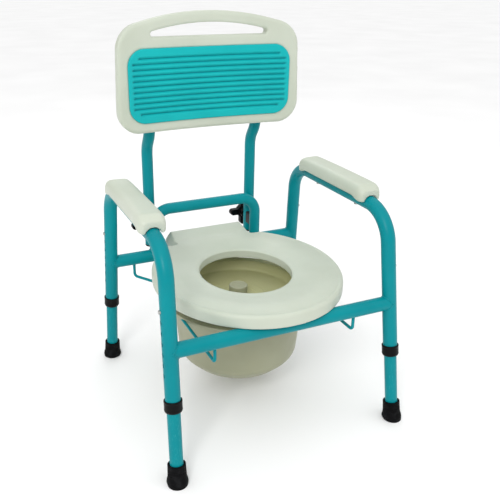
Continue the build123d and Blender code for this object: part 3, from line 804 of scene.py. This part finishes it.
def back_panel_skin():
    """Back panel with a generous round along its outline and its carrying slot."""
    panel = moulded_copy("back_panel", "back_panel_skin", 1.8 * MM)
    places, _ = points_of(panel)
    places = round_front_edge(places, panel_edge(), PANEL_ROUND)
    places = round_front_edge(places, slot_edge(), 5.0 * MM)
    move_points(panel, places)
    relax(panel, 6)
    panel.data.materials.clear()
    panel.data.materials.append(SEAT_PLASTIC)
    smooth(panel, 60)
    finish_piece(panel, "back", "seat_plastic", "back_panel")


def pad_gap(x, z):
    """Distance inside the ribbed pad's rounded outline."""
    half_z = (RIB_TOP_Z - RIB_LOW_Z) / 2
    over_x = np.abs(x) - (RIB_HALF - RIB_CORNER)
    over_z = np.abs(z - (RIB_TOP_Z + RIB_LOW_Z) / 2) - (half_z - RIB_CORNER)
    outside = np.hypot(np.maximum(over_x, 0), np.maximum(over_z, 0))
    return RIB_CORNER - outside - np.minimum(np.maximum(over_x, over_z), 0)


def ribbed_pad():
    """Soft pad with rounded ribs between narrow grooves, inside a flat border."""
    columns, rows = 200, 300
    middle = (RIB_TOP_Z + RIB_LOW_Z) / 2
    grid_x = RIB_HALF * np.sin(np.linspace(-math.pi / 2, math.pi / 2, columns + 1))
    over = np.clip(np.abs(grid_x) - (RIB_HALF - RIB_CORNER), 0, RIB_CORNER)
    corner = RIB_CORNER - np.sqrt(RIB_CORNER**2 - over**2)
    half = (RIB_TOP_Z - RIB_LOW_Z) / 2 - corner
    share = np.linspace(-1, 1, rows + 1)
    share = np.sign(share) * (1 - (1 - np.abs(share)) ** 1.15)
    x = np.repeat(grid_x[:, None], rows + 1, axis=1)
    z = middle + half[:, None] * share[None, :]
    gap = pad_gap(x, z)
    pitch = (RIB_TOP_Z - RIB_LOW_Z - 2 * RIB_MARGIN) / (RIB_COUNT - 1)
    phase = (z - RIB_LOW_Z - RIB_MARGIN) / pitch
    from_groove = np.abs(phase - np.round(phase)) * 2
    groove = 0.55 * (0.5 + 0.5 * np.cos(math.pi * from_groove)) + 0.45 * (1 - from_groove) ** 3
    inside = (phase > -0.5) & (phase < RIB_COUNT - 0.5)
    outer = (np.round(phase) < 0.5) | (np.round(phase) > RIB_COUNT - 1.5)
    fade = ease(np.where(outer, OUTER_GROOVE_HALF, GROOVE_HALF) - np.abs(x), -1 * MM, 7 * MM)
    proud = RIB_CREST - RIB_DEPTH * groove * inside * fade
    round_over = PAD_EDGE_DROP * (1 - np.sqrt(1 - np.clip(1 - gap / PAD_EDGE_ROUND, 0, 1) ** 2))
    height = proud - round_over - 0.4 * MM * (1 - ease(gap, 3 * MM, 12 * MM))
    radius = PANEL_R - height
    y = PANEL_CENTRE_Y + np.sqrt(radius**2 - x**2)
    back = PANEL_CENTRE_Y + np.sqrt((PANEL_R + PAD_BACKING) ** 2 - x**2)
    front = np.stack([x, y, z], axis=-1).reshape(-1, 3)
    rear = np.stack([x, back, z], axis=-1).reshape(-1, 3)
    count = rows + 1
    faces = []
    for column in range(columns):
        for row in range(rows):
            a = column * count + row
            faces.append((a, a + 1, a + count + 1, a + count))
            b = a + len(front)
            faces.append((b, b + count, b + count + 1, b + 1))
    rim = [column * count for column in range(columns + 1)]
    rim += [columns * count + row for row in range(1, count)]
    rim += [column * count + rows for column in range(columns - 1, -1, -1)]
    rim += [row for row in range(rows - 1, 0, -1)]
    for index, here in enumerate(rim):
        ahead = rim[(index + 1) % len(rim)]
        faces.append((here, ahead, ahead + len(front), here + len(front)))
    pad = make_piece("back_pad_ribs", np.concatenate([front, rear]), faces, PAD_VINYL, 70)
    finish_piece(pad, "back", "back_pad_vinyl", "back_pad")


# ---------------------------------------------------------------- legs, knobs and welds


def leg_ends(side_name, end):
    """Rubber tip and collar of one leg."""
    side = SIDES[side_name]
    where = end + "_" + side_name
    place = leg_place(side, end, 0)
    tip = lathe(
        "rubber_tip_skin_" + where,
        [
            (0, -9, 0),
            (21.2, -9, 1.0),
            (22.6, 6, 2.0),
            (21.8, 11, 2.0),
            (19.9, 17, 2.0),
            (19.7, 23, 0.4),
            (19.1, 23.6, 0.4),
            (19.1, 25.0, 0.4),
            (19.6, 25.6, 0.4),
            (19.5, 29, 0.4),
            (18.9, 29.6, 0.4),
            (18.9, 31.0, 0.4),
            (19.4, 31.6, 0.4),
            (19.3, 35, 0.4),
            (18.8, 35.6, 0.4),
            (18.8, 37.0, 0.4),
            (19.2, 37.6, 0.4),
            (19.1, 45, 1.4),
            (14.1, 45, 1.0),
            (14.1, 10, 0),
            (0, 10, 0),
        ],
        place,
        TIP_RUBBER,
        steps=4,
    )
    places, _ = points_of(tip)
    places[:, 2] = np.maximum(places[:, 2], 0)
    move_points(tip, places)
    finish_piece(tip, "leg_" + where, "tip_rubber", "rubber_tip_" + where)

    collar_place = leg_place(side, end, TUBE_END_HEIGHT / math.cos(RAKE[end]))
    collar = lathe(
        "leg_collar_skin_" + where,
        [
            (14.4, -6, 0.6),
            (17.6, -6, 1.4),
            (19.0, -1.5, 1.5),
            (18.6, 1.0, 0.6),
            (18.6, 14.0, 0.6),
            (19.0, 15.6, 0.6),
            (18.9, 19.0, 1.4),
            (16.05, 19.0, 0.4),
            (16.05, 0, 0),
            (14.4, 0, 0),
        ],
        collar_place,
        BLACK_PLASTIC,
        steps=4,
    )
    finish_piece(collar, "frame", "black_plastic", "leg_collar_" + where)


def clamp_knob_skin(side_name):
    """Four-lobed clamp knob with soft moulded edges."""
    knob = moulded_copy("clamp_knob_" + side_name, "clamp_knob_skin_" + side_name, 0.9 * MM)
    relax(knob, 6)
    knob.data.materials.clear()
    knob.data.materials.append(BLACK_PLASTIC)
    smooth(knob, 50)
    finish_piece(knob, "knob_" + side_name, "black_plastic", "clamp_knob_" + side_name)


def bead(name, points, radius):
    """Closed weld bead with the ripples of its puddle."""
    count = len(points)
    ripples = max(int(count / 6), 1)
    radii = [radius * (1 + 0.10 * math.sin(2 * math.pi * ripples * i / count)) for i in range(count)]
    weld = swept(name, points, radii, FRAME_PAINT, closed=True, sides=12)
    finish_piece(weld, "frame", "frame_paint")


def crossbar_weld(side_name, end):
    """Bead where a crossbar meets a leg, on the curve where the two tubes cross."""
    side = SIDES[side_name]
    foot = leg_point(side, end, 0)
    way = (leg_point(side, end, 1) - foot).normalized()
    points = []
    for index in range(180):
        swing = 2 * math.pi * index / 180
        y = bar_y(end) + TUBE_R * math.cos(swing)
        z = BAR_Z + TUBE_R * math.sin(swing)
        dy, dz = y - foot.y, z - foot.z
        shift = way.y * dy + way.z * dz
        a = 1 - way.x**2
        b = way.x * shift
        c = dy * dy + dz * dz - shift**2 - TUBE_R**2
        reach = (b - side * math.sqrt(max(b * b - a * c, 0))) / a
        points.append(Vector((foot.x + reach, y, z)))
    bead("weld_crossbar_" + end + "_" + side_name, points, 1.6 * MM)


def bar_welds(side_name):
    """Beads of the back bracket's foot and the two ends of a bucket rail on the crossbars."""
    side = SIDES[side_name]
    joints = [
        ("weld_bracket_", BRACKET_X, bar_y("rear"), INNER_R, 1, 2.1),
        ("weld_rail_front_", 165 * MM, bar_y("front"), WIRE_R, -1, 1.3),
        ("weld_rail_rear_", 200 * MM, bar_y("rear"), WIRE_R, -1, 1.3),
    ]
    for name, x, y, radius, above, thickness in joints:
        points = []
        for index in range(96):
            swing = 2 * math.pi * index / 96
            across = radius * math.sin(swing)
            rise = above * math.sqrt(TUBE_R**2 - across**2)
            points.append(Vector((side * x + radius * math.cos(swing), y + across, BAR_Z + rise)))
        bead(name + side_name, points, thickness * MM)


# ---------------------------------------------------------------- stage


def add_light(name, place, aim, size, power, colour=(1.0, 1.0, 1.0)):
    """Square area light aimed at a point."""
    light = bpy.data.lights.new(name, "AREA")
    light.size = size
    light.energy = power
    light.color = colour
    lamp = bpy.data.objects.new(name, light)
    lamp.location = place
    lamp.rotation_euler = (Vector(aim) - Vector(place)).to_track_quat("-Z", "Y").to_euler()
    bpy.context.scene.collection.objects.link(lamp)


def build_stage():
    """Plain pale floor, soft studio light and the camera."""
    floor_mesh = bpy.data.meshes.new("floor")
    corners = [(-1, -1), (1, -1), (1, 1), (-1, 1)]
    places = [(x * FLOOR_HALF, y * FLOOR_HALF, 0) for x, y in corners]
    floor_mesh.from_pydata(places, [], [(0, 1, 2, 3)])
    floor = bpy.data.objects.new("floor", floor_mesh)
    bpy.context.scene.collection.objects.link(floor)
    material, tree, shader = start_material("floor_paper", 0.9, specular=0.1)
    tree.links.new(
        tints(tree, noise(tree, 1.5, 2.0), [(0.3, srgb(243, 243, 243)), (0.7, srgb(248, 248, 248))]),
        shader.inputs["Base Color"],
    )
    floor_mesh.materials.append(material)

    world = bpy.data.worlds.new("studio")
    world.use_nodes = True
    world.node_tree.nodes["Background"].inputs["Color"].default_value = (1.0, 1.0, 1.0, 1.0)
    sky = world.node_tree
    heading = sky.nodes.new("ShaderNodeTexCoord")
    split = sky.nodes.new("ShaderNodeSeparateXYZ")
    sky.links.new(heading.outputs["Generated"], split.inputs["Vector"])
    glow = stretch_range(sky, split.outputs["Z"], SKY_HORIZON, SKY_TOP, 0.0, 0.9)
    sky.links.new(glow, sky.nodes["Background"].inputs["Strength"])
    bpy.context.scene.world = world
    bpy.context.scene.view_settings.view_transform = "Standard"
    add_light("key", (-1.8, -2.2, 2.4), (0, 0, 0.4), 1.0, 42)
    add_light("fill", (2.4, -1.4, 1.2), (0, 0, 0.4), 1.6, 6)
    add_light("back", (0.8, 2.6, 2.4), (0, 0, 0.5), 1.4, 10)

    azimuth, elevation, roll = (math.radians(v) for v in (CAMERA_AZIMUTH, CAMERA_ELEVATION, CAMERA_ROLL))
    level = math.cos(elevation)
    back = Vector((math.sin(azimuth) * level, -math.cos(azimuth) * level, math.sin(elevation)))
    right = Vector((math.cos(azimuth), math.sin(azimuth), 0))
    turn = Matrix((right, back.cross(right), back)).transposed()
    turn = Matrix.Rotation(roll, 3, back) @ turn
    lens = bpy.data.cameras.new("camera")
    lens.sensor_width = 36.0
    lens.lens = CAMERA_LENS
    lens.shift_x, lens.shift_y = CAMERA_SHIFT
    camera = bpy.data.objects.new("camera", lens)
    camera.matrix_world = Matrix.Translation(CAMERA_PLACE) @ turn.to_4x4()
    bpy.context.scene.collection.objects.link(camera)
    bpy.context.scene.camera = camera


for name, side in SIDES.items():
    armrest_pad(name, side)
    clamp_knob_skin(name)
    bar_welds(name)
    for end in ENDS:
        leg_ends(name, end)
        crossbar_weld(name, end)
seat_skin()
bucket_and_lid()
back_panel_skin()
ribbed_pad()
build_stage()
